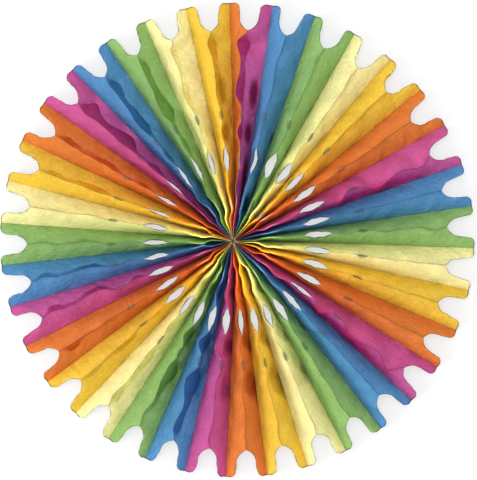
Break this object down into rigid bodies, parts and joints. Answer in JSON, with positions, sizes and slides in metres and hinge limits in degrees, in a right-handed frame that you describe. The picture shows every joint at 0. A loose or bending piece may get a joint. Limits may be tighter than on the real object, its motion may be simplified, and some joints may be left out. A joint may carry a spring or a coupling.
{
  "type": "paper fan rosette",
  "caption": "Round paper fan of pleated tissue in repeating colours, with a tabbed rim and die-cut slits along its folds, opened flat for hanging.",
  "frame": {"origin": "on the fan's axis, in the plane of its back seams", "axes": "+Z along the axis, out of the front; +Y to the top of the fan as it hangs; the closing pleat is 3 degrees from +Y towards +X"},
  "size_m": [0.634, 0.6345, 0.048],
  "materials": {
    "pink_tissue": "matte",
    "blue_tissue": "matte",
    "green_tissue": "matte",
    "yellow_tissue": "matte",
    "gold_tissue": "matte",
    "orange_tissue": "matte"
  },
  "bodies": {
    "root": {"pink_sheet_01": "pink_tissue", "blue_sheet_02": "blue_tissue", "green_sheet_03": "green_tissue", "yellow_sheet_04": "yellow_tissue", "gold_sheet_05": "gold_tissue", "orange_sheet_06": "orange_tissue", "pink_sheet_07": "pink_tissue", "blue_sheet_08": "blue_tissue", "green_sheet_09": "green_tissue", "yellow_sheet_10": "yellow_tissue", "gold_sheet_11": "gold_tissue", "orange_sheet_12": "orange_tissue", "pink_sheet_13": "pink_tissue", "blue_sheet_14": "blue_tissue", "green_sheet_15": "green_tissue", "yellow_sheet_16": "yellow_tissue", "gold_sheet_17": "gold_tissue", "orange_sheet_18": "orange_tissue", "pink_sheet_19": "pink_tissue", "blue_sheet_20": "blue_tissue", "green_sheet_21": "green_tissue", "yellow_sheet_22": "yellow_tissue", "gold_sheet_23": "gold_tissue", "orange_sheet_24": "orange_tissue", "pink_sheet_25": "pink_tissue", "blue_sheet_26": "blue_tissue", "green_sheet_27": "green_tissue", "yellow_sheet_28": "yellow_tissue", "gold_sheet_29": "gold_tissue", "orange_sheet_30": "orange_tissue", "pink_sheet_31": "pink_tissue", "blue_sheet_32": "blue_tissue", "green_sheet_33": "green_tissue", "yellow_sheet_34": "yellow_tissue", "gold_sheet_35": "gold_tissue", "orange_sheet_36": "orange_tissue"}
  },
  "joints": []
}
